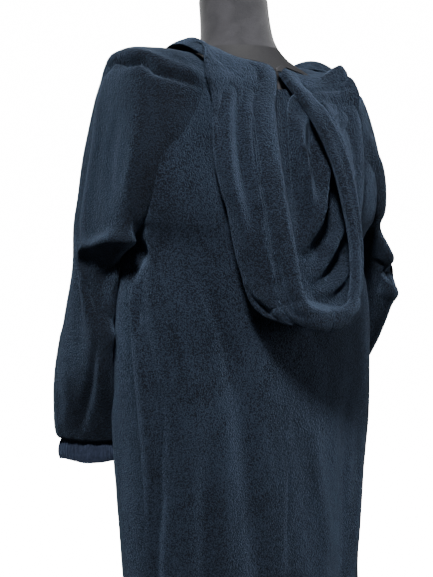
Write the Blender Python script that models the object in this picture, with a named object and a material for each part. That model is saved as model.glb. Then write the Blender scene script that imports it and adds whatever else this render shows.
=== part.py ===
"""Hooded plush onesie on a limbless dress form with a pole stand.

Metres, +Z up. The origin is the centre of the stand's flat underside. The
garment's front faces -Y, its back +Y, and the wearer's left is +X.
Every cloth piece is a wall worked out as a grid of points: rows run down the
piece, columns run across it.
"""
import math

import bmesh
import bpy
import numpy as np

# ---- driving dimensions -------------------------------------------------
CLOTH = 0.0024            # wall of the plush fleece
SEAM = 0.0003             # half of the gap left open at every seam
SEAM_INSIDE = 0.0014      # the same, on the wall's inner skin
UNDERARM_Z = 1.195        # height of the underarm point
CROTCH_Z = 0.560          # height of the crotch point
CROTCH_BLEND = 0.100      # height of the groove where the torso parts
CROTCH_CURVE = 2.4        # more makes the crotch seam's curve rounder
SEAT_FULLNESS = 0.10      # how much the cloth stands out at that height
SEAT_LENGTH = 0.160       # how far below the crotch the legs' outer sides
SEAT_RISE = 0.060         # still follow the torso, and how far above it
ANKLE_Z = 0.100           # where the ankle cuffs are sewn on
ANKLE_CUFF = 0.050        # height of an ankle cuff
SLEEVE_CUFF = 0.034       # height of a sleeve cuff
ZIP_GAP = 0.0042          # from the centre line to the front panel's edge
ZIP_BOTTOM_Z = 0.820      # lower end of the zip
ZIP_OPENS = 0.030         # height over which the fronts part below the zip
TAPE = 0.0016             # thickness of a zip tape with its teeth
ZIP_EDGE_CLEAR = 0.0004   # from a front's edge to the tape, and from the
                          # tape to the centre line
SLIDER_Z = 1.266          # height of the axis that the zip's pull turns on
SLIDER_Y = -0.1402        # back face of the slider
SLIDER_WIDTH = 0.0090
SLIDER_HEIGHT = 0.0110
SLIDER_PLATE = 0.0020
SLIDER_TAPER = 0.72
CHEEK_GAP = 0.0046        # between the slider's two cheeks
CHEEK_DEPTH = 0.0036
PULL_BARREL = 0.0013      # radius of the pull's barrel
PULL_PLATE = 0.0014
PULL_LENGTH = 0.0300
POLE_RADIUS = 0.0110
BASE_RADIUS = 0.170
BASE_HEIGHT = 0.012
BASE_EDGE = 0.002
COLLAR_RADIUS = 0.022
COLLAR_HEIGHT = 0.025
CUFF_WALL = 0.0034

# Torso sections: height, half widths and half depth, each side a quarter
# ellipse. The garment hangs a little towards the wearer's right.
TORSO = (
    # z, left, right, half_depth
    (0.600, 0.223, 0.247, 0.130),
    (0.660, 0.225, 0.251, 0.131),
    (0.760, 0.231, 0.260, 0.134),
    (0.900, 0.242, 0.270, 0.138),
    (1.040, 0.247, 0.270, 0.141),
    (1.120, 0.244, 0.259, 0.141),
    (1.195, 0.2285, 0.2285, 0.140),
)
# Where the side seam runs round the torso, in degrees behind the side line.
SIDE_SEAM = (
    # z, degrees
    (0.100, 14.0),
    (0.660, 16.0),
    (0.900, 16.0),
    (1.080, 11.0),
    (1.195, 4.5),
)
# Legs: height, inner edge and outer edge in x, half depth, centre in y.
LEG_LEFT = (
    # z, inner_x, outer_x, half_depth, centre_y
    (0.100, 0.068, 0.166, 0.054, 0.004),
    (0.135, 0.058, 0.176, 0.070, 0.003),
    (0.250, 0.052, 0.186, 0.086, 0.000),
    (0.420, 0.046, 0.204, 0.100, -0.002),
    (0.580, 0.038, 0.220, 0.120, 0.000),
    (0.645, 0.030, 0.226, 0.127, 0.000),
)
LEG_RIGHT = (
    # z, inner_x, outer_x, half_depth, centre_y
    (0.100, 0.022, -0.076, 0.054, 0.004),
    (0.135, 0.023, -0.100, 0.070, 0.003),
    (0.250, 0.023, -0.128, 0.086, 0.000),
    (0.420, 0.023, -0.182, 0.100, -0.002),
    (0.580, 0.024, -0.226, 0.120, 0.000),
    (0.645, 0.026, -0.240, 0.127, 0.000),
)
# Sleeve sections, from the neckline over the shoulder and down the arm. Each
# is an arc of an ellipse: its centre, its half depth, how far it stands out
# and rises from the centre to its outer point, how far the arc wraps past the
# half ellipse (90 closes it), how far the seam is turned towards the back,
# and how far the whole section is turned about the vertical.
SLEEVE_LEFT = (
    # x, y, z, half_depth, out, rise, wrap, seam_turn, yaw
    (0.122, 0.004, 1.474, 0.090, 0.014, 0.040, 0.0, 0.0, 0.0),
    (0.158, 0.002, 1.428, 0.112, 0.028, 0.089, 0.0, 0.0, 0.0),
    (0.192, 0.000, 1.366, 0.114, 0.046, 0.142, -2.0, 0.0, 0.0),
    (0.2125, -0.0035, 1.3315, 0.110, 0.051, 0.124, -6.0, 0.0, 0.0),
    (0.233, -0.010, 1.302, 0.107, 0.041, 0.083, 4.0, 3.0, 0.0),
    (0.2500, -0.020, 1.2560, 0.100, 0.031, 0.0405, 36.0, 10.0, 0.0),
    (0.2615, -0.030, 1.216, 0.092, 0.0260, 0.020, 89.0, 20.0, 0.0),
    (0.268, -0.037, 1.150, 0.076, 0.0215, 0.006, 89.4, 20.0, 2.0),
    (0.274, -0.050, 1.070, 0.071, 0.021, 0.002, 89.4, 18.0, 8.0),
    (0.278, -0.071, 0.980, 0.066, 0.023, 0.000, 89.4, 16.0, 14.0),
    (0.266, -0.094, 0.912, 0.057, 0.027, 0.000, 89.4, 12.0, 28.0),
    (0.251, -0.107, 0.858, 0.051, 0.025, 0.000, 89.4, 10.0, 36.0),
)
# The right shoulder hangs lower, and the right elbow stands out to the back:
# how far each section there is moved.
RIGHT_SHIFT = (
    # outwards, back, up
    (-0.004, 0.000, -0.006),
    (-0.012, 0.000, -0.016),
    (-0.016, -0.004, -0.021),
    (-0.012, -0.005, -0.012),
    (-0.006, -0.002, -0.005),
    (0.001, 0.001, -0.001),
    (0.000, 0.000, 0.000),
    (0.028, 0.034, 0.000),
    (0.036, 0.026, 0.000),
    (0.034, 0.002, 0.000),
    (0.026, -0.008, 0.000),
    (0.018, -0.008, 0.000),
)
SLEEVE_RIGHT = tuple(
    (row[0] + out, row[1] + back, row[2] + up) + row[3:]
    for row, (out, back, up) in zip(SLEEVE_LEFT, RIGHT_SHIFT))
SLEEVE_TOP_ROWS = 6       # the table row at which the sleeve closes to a tube
# Edges of the fronts and backs beside the centre line, for the sleeve
# sections from the neckline to the underarm.
CENTRE_BACK = (
    # y, z, end_degrees
    (0.1070, 1.452, 42.0),
    (0.1120, 1.410, 36.0),
    (0.1200, 1.350, 31.0),
    (0.1280, 1.300, 25.0),
    (0.1345, 1.255, 19.0),
    (0.1380, 1.220, 11.0),
    (0.1400, 1.195, 4.5),
)
ZIP_EDGE = (
    # x, y, z, end_degrees
    (0.0940, -0.0710, 1.488, 40.0),
    (0.0700, -0.0930, 1.446, 34.0),
    (0.0400, -0.1160, 1.386, 28.0),
    (0.0120, -0.1310, 1.326, 22.0),
    (ZIP_GAP, -0.1370, 1.270, 22.0),
    (ZIP_GAP, -0.1390, 1.228, 18.0),
    (ZIP_GAP, -0.1400, 1.195, 10.0),
)
# Hood sections, from the front corner of the neckline, round the neck to the
# nape, and down the back to the forehead point: the free edge (zip, then
# rim), the fullest point of the wall, and the sewn edge (neckline, then the
# hood's centre seam).
HOOD = (
    # edge x, y, z, full x, y, z, sewn x, y, z
    (0.0965, -0.0680, 1.4970, 0.108, -0.073, 1.510, 0.118, -0.0770, 1.4940),
    (0.1010, -0.0200, 1.5140, 0.124, -0.026, 1.537, 0.143, -0.0250, 1.5220),
    (0.0980, 0.0300, 1.5130, 0.130, 0.043, 1.543, 0.148, 0.0400, 1.5220),
    (0.0620, 0.0800, 1.5000, 0.170, 0.1105, 1.5236, 0.142, 0.1110, 1.4900),
    (0.0045, 0.0985, 1.4840, 0.212, 0.139, 1.4640, 0.094, 0.1170, 1.4680),
    (0.0340, 0.1420, 1.4100, 0.221, 0.132, 1.416, 0.010, 0.1210, 1.4360),
    (0.0530, 0.1780, 1.3300, 0.215, 0.132, 1.334, 0.0012, 0.1310, 1.3400),
    (0.0590, 0.2060, 1.2500, 0.190, 0.134, 1.242, 0.0012, 0.1425, 1.2440),
    (0.0580, 0.2280, 1.1780, 0.166, 0.138, 1.150, 0.0012, 0.1520, 1.1680),
    (0.0470, 0.2405, 1.1140, 0.126, 0.162, 1.074, 0.0012, 0.1700, 1.1060),
    (0.0012, 0.2460, 1.0945, 0.0012, 0.242, 1.050, 0.0012, 0.2160, 1.0800),
)
# How an elastic cuff swells: how far down it, and its size there.
CUFF_PROFILE = ((0.0, 0.97), (0.35, 1.03), (0.75, 1.02), (1.0, 0.97))
HOOD_FULLNESS = 0.86      # 2/3 is a plain arc; more makes the wall fuller
# How much lower the roll round the neck lies on the right, at its free edge,
# its fullest point and its sewn edge.
HOOD_DROP_RIGHT = (0.004, 0.024, 0.016)
HOOD_PULL_RIGHT = 0.020   # and how much closer in its fullest point is there
HOOD_ZIP_ROWS = 4         # the table row where the zip ends at the nape
HOOD_SWAY_X = -0.005      # the hood's free rim hangs a little to the right

# Dress form: height, half width, half depth, centre in y.
FORM = (
    # z, half_width, half_depth, centre_y
    (0.800, 0.150, 0.090, 0.000),
    (0.806, 0.160, 0.098, 0.000),
    (0.860, 0.170, 0.104, 0.000),
    (0.930, 0.164, 0.102, 0.000),
    (1.020, 0.152, 0.097, 0.000),
    (1.110, 0.162, 0.103, 0.000),
    (1.220, 0.180, 0.110, 0.000),
    (1.320, 0.196, 0.107, 0.000),
    (1.390, 0.204, 0.099, 0.001),
    (1.430, 0.201, 0.092, 0.001),
    (1.460, 0.184, 0.086, 0.001),
    (1.480, 0.155, 0.081, 0.000),
    (1.498, 0.115, 0.076, -0.002),
    (1.512, 0.087, 0.071, -0.006),
    (1.528, 0.072, 0.068, -0.011),
    (1.552, 0.0635, 0.064, -0.018),
    (1.590, 0.0605, 0.0610, -0.025),
    (1.616, 0.0600, 0.0605, -0.029),
    (1.622, 0.0570, 0.0575, -0.030),
)
FORM_SIDES = 28

# Grid sizes: columns across and rows down each piece.
BODY_COLS = 8
YOKE_ROWS = 9
TORSO_ROWS = 7
LEG_ROWS = 10
SLEEVE_COLS = 14
ARM_ROWS = 13
HOOD_COLS = 10
HOOD_ROWS = 20
CUFF_COLS = 18
ZIP_HOOD_ROWS = 8
POLE_SIDES = 16
BASE_SIDES = 40

NAVY = (0.012, 0.020, 0.045, 1.0)
CHARCOAL = (0.055, 0.055, 0.060, 1.0)
BLACK = (0.010, 0.010, 0.011, 1.0)
STEEL = (0.045, 0.045, 0.048, 1.0)


# ---- curves through tables ----------------------------------------------
def through(table, t):
    """Catmull-Rom point at t, where t = 0, 1, 2... are the table's rows."""
    rows = np.asarray(table, dtype=float)
    last = len(rows) - 1
    t = min(max(t, 0.0), float(last))
    i = min(int(t), last - 1)
    f = t - i
    p1, p2 = rows[i], rows[i + 1]
    p0 = rows[i - 1] if i > 0 else 2.0 * p1 - p2
    p3 = rows[i + 2] if i + 2 <= last else 2.0 * p2 - p1
    return 0.5 * (2.0 * p1 + (p2 - p0) * f
                  + (2.0 * p0 - 5.0 * p1 + 4.0 * p2 - p3) * f * f
                  + (3.0 * p1 - p0 - 3.0 * p2 + p3) * f * f * f)


def at_height(table, z):
    """The table's other columns at height z, its first column."""
    heights = [row[0] for row in table]
    z = min(max(z, heights[0]), heights[-1])
    for i in range(len(heights) - 1):
        if z <= heights[i + 1]:
            t = i + (z - heights[i]) / (heights[i + 1] - heights[i])
            return through([row[1:] for row in table], t)
    return np.asarray(table[-1][1:], dtype=float)


def smooth(x):
    x = min(max(x, 0.0), 1.0)
    return x * x * (3.0 - 2.0 * x)


# ---- surfaces -----------------------------------------------------------
def sleeve_point(t, u, side):
    """Sleeve: t runs down the table, u from the back seam round to the front
    seam. Side is 1 for left and -1 for right, in every function here."""
    table = SLEEVE_LEFT if side > 0 else SLEEVE_RIGHT
    x, y, z, depth, out, rise, wrap, turn, yaw = through(table, t)
    start = math.radians(turn - wrap)
    end = math.radians(180.0 + turn + wrap)
    angle = start + (end - start) * u
    yaw = math.radians(yaw)
    along, off = depth * math.cos(angle), out * math.sin(angle)
    return np.array((side * (x + off * math.cos(yaw) - along * math.sin(yaw)),
                     y + off * math.sin(yaw) + along * math.cos(yaw),
                     z + rise * math.sin(angle)))


def yoke_point(t, u, side, back):
    """Upper front or back: t as in the sleeve's table, u from the centre to
    the raglan seam."""
    if back:
        y, z, end = through(CENTRE_BACK, t)
        start = np.array((0.0, y, z))
        seam = sleeve_point(t, 0.0, side)
    else:
        x, y, z, end = through(ZIP_EDGE, t)
        start = np.array((side * x, y, z))
        seam = sleeve_point(t, 1.0, side)
    return across(start, seam, math.radians(end), u)


def across(start, seam, end, u):
    """A quarter-ellipse row from the centre to the seam, where the ellipse
    has turned to the angle end."""
    angle = math.pi / 2 + (end - math.pi / 2) * u
    x = math.cos(angle) / math.cos(end)
    y = (1.0 - math.sin(angle)) / (1.0 - math.sin(end))
    return np.array((start[0] + (seam[0] - start[0]) * x,
                     start[1] + (seam[1] - start[1]) * y,
                     start[2] + (seam[2] - start[2]) * u ** 1.4))


def lower_point(z, u, side, back):
    """Torso and leg below the underarm: u from the centre seam, or the
    inseam, to the side seam."""
    face = 1.0 if back else -1.0
    seam = math.radians(at_height(SIDE_SEAM, z)[0]) * face
    left, right, depth = at_height(TORSO, z)
    width = left if side > 0 else right
    angle = math.pi / 2 + (seam - math.pi / 2) * u
    inset = 0.0
    if not back:
        inset = ZIP_GAP * (1.0 - u) * smooth((z - ZIP_BOTTOM_Z) / ZIP_OPENS + 1.0)
    torso = np.array((side * (width * math.cos(angle) + inset),
                      face * depth * math.sin(angle), z))
    inner, outer, leg_depth, y = at_height(LEG_LEFT if side > 0 else LEG_RIGHT, z)
    turn = math.pi * (1.0 - u) + seam * u
    middle, half = (inner + outer) / 2, abs(outer - inner) / 2
    leg = np.array((middle + side * half * math.cos(turn),
                    y + face * leg_depth * math.sin(turn), z))
    out = smooth(u / 0.6)
    start = CROTCH_Z - SEAT_LENGTH * out
    length = CROTCH_BLEND + (SEAT_LENGTH + SEAT_RISE - CROTCH_BLEND) * out
    up = min(max((z - start) / length, 0.0), 1.0)
    part = (1.0 - (1.0 - up) ** CROTCH_CURVE) * (1.0 - out) + smooth(up) * out
    point = leg * (1.0 - part) + torso * part
    point[1] *= 1.0 + SEAT_FULLNESS * 4.0 * part * (1.0 - part)
    return point


def hood_point(t, w, side):
    """Hood panel: t runs down the table, w from the free edge to the sewn
    one."""
    row = through(HOOD, t)
    last = len(HOOD) - 1
    if t > last - 1:
        # the two halves meet in a round bottom, not in a point
        turn = (t - last + 1) * math.pi / 2
        above, below = np.array(HOOD[-2]), np.array(HOOD[-1])
        row = below + (above - below) * (1.0 - math.sin(turn))
        row[0::3] = below[0::3] + (above[0::3] - below[0::3]) * math.cos(turn)
    edge, full, sewn = row[0:3].copy(), row[3:6].copy(), row[6:9].copy()
    if side < 0:
        near_nape = math.sin(math.pi * smooth((t - 0.8) / 4.4))
        for point, drop in zip((edge, full, sewn), HOOD_DROP_RIGHT):
            point[2] -= drop * near_nape
        full[0] -= HOOD_PULL_RIGHT * near_nape
    for point in (edge, full, sewn):
        point[0] = max(point[0], 0.0012)
    near = edge + (full - edge) * HOOD_FULLNESS
    far = sewn + (full - sewn) * HOOD_FULLNESS
    v = 1.0 - w
    point = (edge * v ** 3 + 3.0 * near * v * v * w
             + 3.0 * far * v * w * w + sewn * w ** 3)
    sway = HOOD_SWAY_X * math.sin(math.pi * smooth((t - 4.0) / 6.0)) * v
    return np.array((side * point[0] + sway, point[1], point[2]))


# ---- building a wall from a grid ----------------------------------------
def grid_normals(grid):
    across_step = np.gradient(grid, axis=1)
    down_step = np.gradient(grid, axis=0)
    normal = np.cross(across_step, down_step)
    length = np.linalg.norm(normal, axis=2, keepdims=True)
    return normal / np.maximum(length, 1e-9)


def wall_mesh(name, outer, inner):
    """A closed wall between an outer and an inner grid of the same size."""
    rows, cols = outer.shape[:2]
    mesh = bmesh.new()
    skins = [[[mesh.verts.new(skin[r, c]) for c in range(cols)]
              for r in range(rows)] for skin in (outer, inner)]
    out, inn = skins
    for r in range(rows - 1):
        for c in range(cols - 1):
            mesh.faces.new((out[r][c], out[r + 1][c], out[r + 1][c + 1], out[r][c + 1]))
            mesh.faces.new((inn[r][c], inn[r][c + 1], inn[r + 1][c + 1], inn[r + 1][c]))
    rim = [(0, c) for c in range(cols - 1)]
    rim += [(r, cols - 1) for r in range(rows - 1)]
    rim += [(rows - 1, c) for c in range(cols - 1, 0, -1)]
    rim += [(r, 0) for r in range(rows - 1, 0, -1)]
    for i, (r, c) in enumerate(rim):
        r2, c2 = rim[(i + 1) % len(rim)]
        mesh.faces.new((out[r][c], out[r2][c2], inn[r2][c2], inn[r][c]))
    return finish_mesh(name, mesh)


def ring_mesh(name, outer, inner):
    """A closed band: the grids' columns join up round the ring."""
    rows, cols = outer.shape[:2]
    mesh = bmesh.new()
    out, inn = ([[mesh.verts.new(skin[r, c]) for c in range(cols)]
                 for r in range(rows)] for skin in (outer, inner))
    for c in range(cols):
        d = (c + 1) % cols
        for r in range(rows - 1):
            mesh.faces.new((out[r][c], out[r + 1][c], out[r + 1][d], out[r][d]))
            mesh.faces.new((inn[r][c], inn[r][d], inn[r + 1][d], inn[r + 1][c]))
        for r, turned in ((0, False), (rows - 1, True)):
            face = [out[r][c], out[r][d], inn[r][d], inn[r][c]]
            mesh.faces.new(reversed(face) if turned else face)
    return finish_mesh(name, mesh)


def finish_mesh(name, mesh):
    bmesh.ops.recalc_face_normals(mesh, faces=mesh.faces)
    if mesh.calc_volume(signed=True) < 0.0:
        bmesh.ops.reverse_faces(mesh, faces=mesh.faces)
    data = bpy.data.meshes.new(name)
    mesh.to_mesh(data)
    mesh.free()
    data.shade_smooth()
    data.set_sharp_from_angle(angle=math.radians(50.0))
    return data


def pull_back(grid, gap):
    """Moves the grid's edge points inwards along the cloth, which leaves the
    seams open."""
    moved = grid.copy()
    for line, inside in ((0, 1), (-1, -2)):
        step = grid[:, inside] - grid[:, line]
        moved[:, line] += step / np.linalg.norm(step, axis=1, keepdims=True) * gap
        step = grid[inside, :] - grid[line, :]
        moved[line, :] += step / np.linalg.norm(step, axis=1, keepdims=True) * gap
    return moved


def cloth_panel(name, grid, outward, material, thickness=CLOTH):
    """Adds a wall whose outer skin is the grid; outward is +1 where the
    grid's own normals face out, and -1 where they face in."""
    normals = grid_normals(grid)
    outer = pull_back(grid, SEAM)
    inner = pull_back(grid, SEAM_INSIDE) - normals * outward * thickness
    return add_object(name, wall_mesh(name, outer, inner), material)


def add_object(name, data, material):
    obj = bpy.data.objects.new(name, data)
    bpy.context.collection.objects.link(obj)
    obj.data.materials.append(material)
    return obj


def make_material(name, colour, roughness, metallic=0.0):
    material = bpy.data.materials.new(name)
    material.use_nodes = True
    shader = material.node_tree.nodes["Principled BSDF"]
    shader.inputs["Base Color"].default_value = colour
    shader.inputs["Roughness"].default_value = roughness
    shader.inputs["Metallic"].default_value = metallic
    return material


# ---- the garment --------------------------------------------------------
def body_grid(side, back):
    """Rows from the neckline to the ankle of one front or back."""
    rows = []
    for j in range(YOKE_ROWS):
        t = SLEEVE_TOP_ROWS * j / YOKE_ROWS
        rows.append([yoke_point(t, i / BODY_COLS, side, back)
                     for i in range(BODY_COLS + 1)])
    heights = list(np.linspace(UNDERARM_Z, CROTCH_Z + CROTCH_BLEND, TORSO_ROWS + 1))
    heights += [CROTCH_Z + CROTCH_BLEND * f for f in (0.7, 0.4, 0.15)]
    heights += list(np.linspace(CROTCH_Z - 0.01, ANKLE_Z, LEG_ROWS + 1))
    for z in heights:
        rows.append([lower_point(z, i / BODY_COLS, side, back)
                     for i in range(BODY_COLS + 1)])
    return np.array(rows)


def add_body(navy):
    for side, word in ((1.0, "left"), (-1.0, "right")):
        for back, piece in ((True, "back"), (False, "front")):
            outward = side if back else -side
            cloth_panel(f"{piece}_{word}", body_grid(side, back), outward, navy)


def add_sleeves(navy):
    rows = list(np.linspace(0.0, SLEEVE_TOP_ROWS, YOKE_ROWS + 1))
    rows += list(np.linspace(SLEEVE_TOP_ROWS, len(SLEEVE_LEFT) - 1.0, ARM_ROWS + 1))[1:]
    for side, word in ((1.0, "left"), (-1.0, "right")):
        grid = np.array([[sleeve_point(t, i / SLEEVE_COLS, side)
                          for i in range(SLEEVE_COLS + 1)] for t in rows])
        # the sleeve's wall lies outside its grid, over the body's seams
        cloth_panel(f"sleeve_{word}", grid, -side, navy)


def add_hood(navy):
    rows = np.linspace(0.0, len(HOOD) - 1.0, HOOD_ROWS + 1)
    for side, word in ((1.0, "left"), (-1.0, "right")):
        grid = np.array([[hood_point(t, i / HOOD_COLS, side)
                          for i in range(HOOD_COLS + 1)] for t in rows])
        cloth_panel(f"hood_{word}", grid, side, navy)


def cuff_band(name, centre, half_x, half_y, yaw, top_z, height, navy):
    """A cuff: an elastic band, fuller in the middle than at its edges."""
    outer, inner = [], []
    for down, scale in CUFF_PROFILE:
        for rings, wall in ((outer, 0.0), (inner, CUFF_WALL)):
            ring = []
            for c in range(CUFF_COLS):
                angle = 2.0 * math.pi * c / CUFF_COLS
                x = (half_x * scale - wall) * math.cos(angle)
                y = (half_y * scale - wall) * math.sin(angle)
                ring.append((centre[0] + x * math.cos(yaw) - y * math.sin(yaw),
                             centre[1] + x * math.sin(yaw) + y * math.cos(yaw),
                             top_z - height * down))
            rings.append(ring)
    add_object(name, ring_mesh(name, np.array(outer), np.array(inner)), navy)


def add_cuffs(navy):
    for side, word in ((1.0, "left"), (-1.0, "right")):
        x, y, z, depth, out = (SLEEVE_LEFT if side > 0 else SLEEVE_RIGHT)[-1][:5]
        yaw = math.radians(SLEEVE_LEFT[-1][8])
        cuff_band(f"cuff_{word}", (side * x, y), out, depth, side * yaw,
                  z - 2.0 * SEAM, SLEEVE_CUFF, navy)
    for legs, word in ((LEG_LEFT, "left"), (LEG_RIGHT, "right")):
        z, inner, outer, depth, y = legs[0]
        cuff_band(f"ankle_{word}", ((inner + outer) / 2, y),
                  abs(outer - inner) / 2, depth, 0.0,
                  ANKLE_Z - 2.0 * SEAM, ANKLE_CUFF, navy)


def zip_grid(side):
    """One half of the zip: a strip along the free edge of the front, then
    along the hood's edge to the nape."""
    front = body_grid(side, False)
    front = front[::-1]
    edge = [row for row in front[:, 0:2] if row[0, 2] >= ZIP_BOTTOM_Z]
    for t in np.linspace(0.0, HOOD_ZIP_ROWS, ZIP_HOOD_ROWS + 1):
        edge.append(np.array([hood_point(t, 0.0, side),
                              hood_point(t, 1.0 / HOOD_COLS, side)]))
    edge = np.array(edge)
    step = edge[:, 1] - edge[:, 0]
    step /= np.linalg.norm(step, axis=1, keepdims=True)
    return np.stack([edge[:, 0] - step * ZIP_EDGE_CLEAR,
                     edge[:, 0] - step * (ZIP_GAP - ZIP_EDGE_CLEAR)], axis=1)


def add_zip(black, steel):
    for side, word in ((1.0, "left"), (-1.0, "right")):
        grid = zip_grid(side)
        back = grid + grid_normals(grid) * side * TAPE
        name = f"zip_{word}"
        add_object(name, wall_mesh(name, grid, back), black)
    add_slider(steel)


def add_slider(steel):
    """The slider is a plate with two cheeks. The pull's barrel turns between
    them."""
    back = SLIDER_Y
    front = back - SLIDER_PLATE
    xs = (-SLIDER_WIDTH / 2, -CHEEK_GAP / 2, CHEEK_GAP / 2, SLIDER_WIDTH / 2)
    zs = (SLIDER_Z - SLIDER_HEIGHT, SLIDER_Z - PULL_BARREL * 2,
          SLIDER_Z + PULL_BARREL * 2)
    mesh = bmesh.new()
    bmesh.ops.create_cube(mesh, size=1.0)
    for vert in mesh.verts:
        vert.co = (vert.co.x * SLIDER_WIDTH,
                   (back + front) / 2 + vert.co.y * SLIDER_PLATE,
                   (zs[0] + zs[2]) / 2 + vert.co.z * (zs[2] - zs[0]))
    for x in xs[1:3]:
        cut_plane(mesh, (x, 0.0, 0.0), (1.0, 0.0, 0.0))
    cut_plane(mesh, (0.0, 0.0, zs[1]), (0.0, 0.0, 1.0))
    mesh.normal_update()
    cheeks = [face for face in mesh.faces
              if face.normal.y < -0.9 and face.calc_center_median().z > zs[1]
              and abs(face.calc_center_median().x) > CHEEK_GAP / 2]
    for face in cheeks:
        grown = bmesh.ops.extrude_discrete_faces(mesh, faces=[face])["faces"][0]
        bmesh.ops.translate(mesh, verts=grown.verts, vec=(0.0, -CHEEK_DEPTH, 0.0))
    bottom = [vert for vert in mesh.verts if vert.co.z < zs[1] - PULL_BARREL / 2]
    for vert in bottom:
        vert.co.x *= SLIDER_TAPER
    add_object("zip_slider", finish_mesh("zip_slider", mesh), steel)

    pivot_y = front - CHEEK_DEPTH / 2
    width = CHEEK_GAP / 2 - 2.0 * SEAM
    outline = [(PULL_BARREL * math.cos(a), PULL_BARREL * math.sin(a))
               for a in np.linspace(-0.25 * math.pi, 1.25 * math.pi, 10)]
    outline += [(-PULL_PLATE / 2, -PULL_BARREL * 1.6),
                (-PULL_PLATE / 2, -PULL_LENGTH),
                (PULL_PLATE / 2, -PULL_LENGTH),
                (PULL_PLATE / 2, -PULL_BARREL * 1.6)]
    mesh = bmesh.new()
    sides = [[mesh.verts.new((x, y, z)) for y, z in outline] for x in (-width, width)]
    mesh.faces.new(sides[0])
    mesh.faces.new(list(reversed(sides[1])))
    for i in range(len(outline)):
        j = (i + 1) % len(outline)
        mesh.faces.new((sides[0][i], sides[1][i], sides[1][j], sides[0][j]))
    pull = add_object("zip_pull", finish_mesh("zip_pull", mesh), steel)
    pull.location = (0.0, pivot_y, SLIDER_Z)


def cut_plane(mesh, point, normal):
    parts = mesh.verts[:] + mesh.edges[:] + mesh.faces[:]
    bmesh.ops.bisect_plane(mesh, geom=parts, plane_co=point, plane_no=normal)


# ---- the form and its stand ---------------------------------------------
def turned(name, table, sides, material):
    """A closed solid through elliptical sections: z, half width, half depth
    and the section's centre in y."""
    mesh = bmesh.new()
    rings = []
    for z, width, depth, y in table:
        angles = [2.0 * math.pi * c / sides for c in range(sides)]
        rings.append([mesh.verts.new((width * math.cos(a), y + depth * math.sin(a), z))
                      for a in angles])
    for low, high in zip(rings, rings[1:]):
        for c in range(sides):
            d = (c + 1) % sides
            mesh.faces.new((low[c], low[d], high[d], high[c]))
    mesh.faces.new(list(reversed(rings[0])))
    mesh.faces.new(rings[-1])
    add_object(name, finish_mesh(name, mesh), material)


def add_form(charcoal, steel):
    turned("form_torso", FORM, FORM_SIDES, charcoal)
    pole = [(z, POLE_RADIUS, POLE_RADIUS, 0.0)
            for z in (BASE_HEIGHT + COLLAR_HEIGHT + SEAM, FORM[0][0] - SEAM)]
    turned("stand_pole", pole, POLE_SIDES, steel)
    base = ((0.0, BASE_RADIUS - BASE_EDGE), (BASE_EDGE, BASE_RADIUS),
            (BASE_HEIGHT - BASE_EDGE, BASE_RADIUS),
            (BASE_HEIGHT, BASE_RADIUS - BASE_EDGE),
            (BASE_HEIGHT, COLLAR_RADIUS + BASE_EDGE),
            (BASE_HEIGHT + BASE_EDGE, COLLAR_RADIUS),
            (BASE_HEIGHT + COLLAR_HEIGHT, COLLAR_RADIUS))
    turned("stand_base", [(z, r, r, 0.0) for z, r in base], BASE_SIDES, steel)


def build():
    for obj in list(bpy.data.objects):
        bpy.data.objects.remove(obj)
    navy = make_material("navy_fleece", NAVY, 0.95)
    charcoal = make_material("form_jersey", CHARCOAL, 0.9)
    black = make_material("zip_coil", BLACK, 0.45)
    steel = make_material("painted_steel", STEEL, 0.35, 0.8)
    add_body(navy)
    add_sleeves(navy)
    add_hood(navy)
    add_cuffs(navy)
    add_zip(black, steel)
    add_form(charcoal, steel)


build()
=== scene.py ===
"""Looks of the hooded plush onesie on its limbless dress form.

Metres, +Z up: the garment's front faces -Y, its back +Y, and the wearer's
left is +X. Each cloth piece is a grid of points worked out by the same tables
and functions as its CAD solid, at a finer spacing. Folds, seam channels and
the pile's unevenness lift the grid along its normals, and the grid then
becomes a closed wall with rounded edges.
"""
import itertools
from math import cos, pi, radians, sin

import bpy
import numpy as np
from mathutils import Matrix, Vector


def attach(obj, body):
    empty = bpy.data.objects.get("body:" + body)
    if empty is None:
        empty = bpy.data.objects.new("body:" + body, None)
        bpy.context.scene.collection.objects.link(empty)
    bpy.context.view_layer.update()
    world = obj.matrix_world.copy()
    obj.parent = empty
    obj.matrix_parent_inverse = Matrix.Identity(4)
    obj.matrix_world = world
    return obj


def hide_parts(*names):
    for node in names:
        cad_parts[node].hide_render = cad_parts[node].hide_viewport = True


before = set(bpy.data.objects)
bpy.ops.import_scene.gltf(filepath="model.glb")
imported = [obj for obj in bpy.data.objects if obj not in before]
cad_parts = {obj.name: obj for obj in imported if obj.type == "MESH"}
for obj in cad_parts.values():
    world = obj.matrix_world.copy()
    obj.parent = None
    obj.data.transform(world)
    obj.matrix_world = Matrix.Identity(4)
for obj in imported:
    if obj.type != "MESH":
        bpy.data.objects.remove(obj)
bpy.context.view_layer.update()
GARMENT = "garment_and_form"

# ---- sizes, the same as in the CAD model
UNDERARM_Z = 1.195        # height of the underarm point
CROTCH_Z = 0.560          # height of the crotch point
CROTCH_BLEND = 0.100      # height of the groove where the torso parts
CROTCH_CURVE = 2.4        # more makes the crotch seam's curve rounder
SEAT_FULLNESS = 0.10      # how much the cloth stands out at that height
SEAT_LENGTH = 0.160       # how far below the crotch the legs' outer sides
SEAT_RISE = 0.060         # still follow the torso, and how far above it
ANKLE_Z = 0.100           # where the ankle cuffs are sewn on
ANKLE_CUFF = 0.050        # height of an ankle cuff
SLEEVE_CUFF = 0.034       # height of a sleeve cuff
ZIP_GAP = 0.0042          # from the centre line to the front panel's edge
ZIP_BOTTOM_Z = 0.820      # lower end of the zip
ZIP_OPENS = 0.030         # height over which the fronts part below the zip
ZIP_EDGE_CLEAR = 0.0004   # from a front's edge to the tape, and from the
                          # tape to the centre line
CUFF_WALL = 0.0034
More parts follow.
